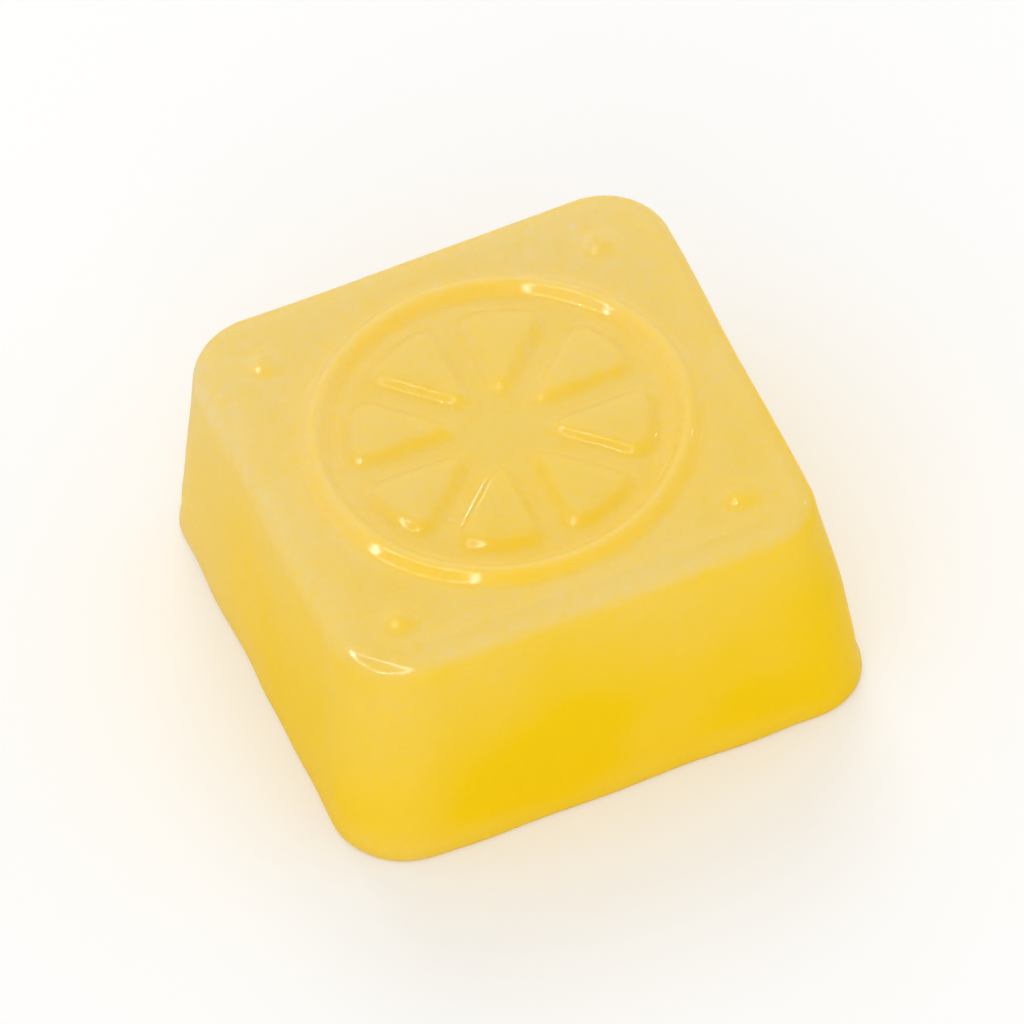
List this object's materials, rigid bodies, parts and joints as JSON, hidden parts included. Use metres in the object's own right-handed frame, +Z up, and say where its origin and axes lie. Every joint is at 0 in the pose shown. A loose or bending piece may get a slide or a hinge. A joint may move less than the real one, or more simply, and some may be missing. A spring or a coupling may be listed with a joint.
{
  "type": "gummy candy",
  "caption": "Square yellow fruit gummy with rounded corners, a flat poured base and a smaller moulded face with a raised citrus wheel.",
  "frame": {"origin": "middle of the poured base, in the plane it rests on", "axes": "+Z up from the base to the moulded face, X and Y along the sides of the square, front towards -Y"},
  "size_m": [0.02, 0.02, 0.0095],
  "materials": {
    "fruit_gel": "soft translucent fruit gel, pale cream yellow where thin or lit and deep golden yellow in its thick middle, with a satin oiled skin"
  },
  "bodies": {
    "root": {"gummy": "fruit_gel"}
  },
  "joints": []
}
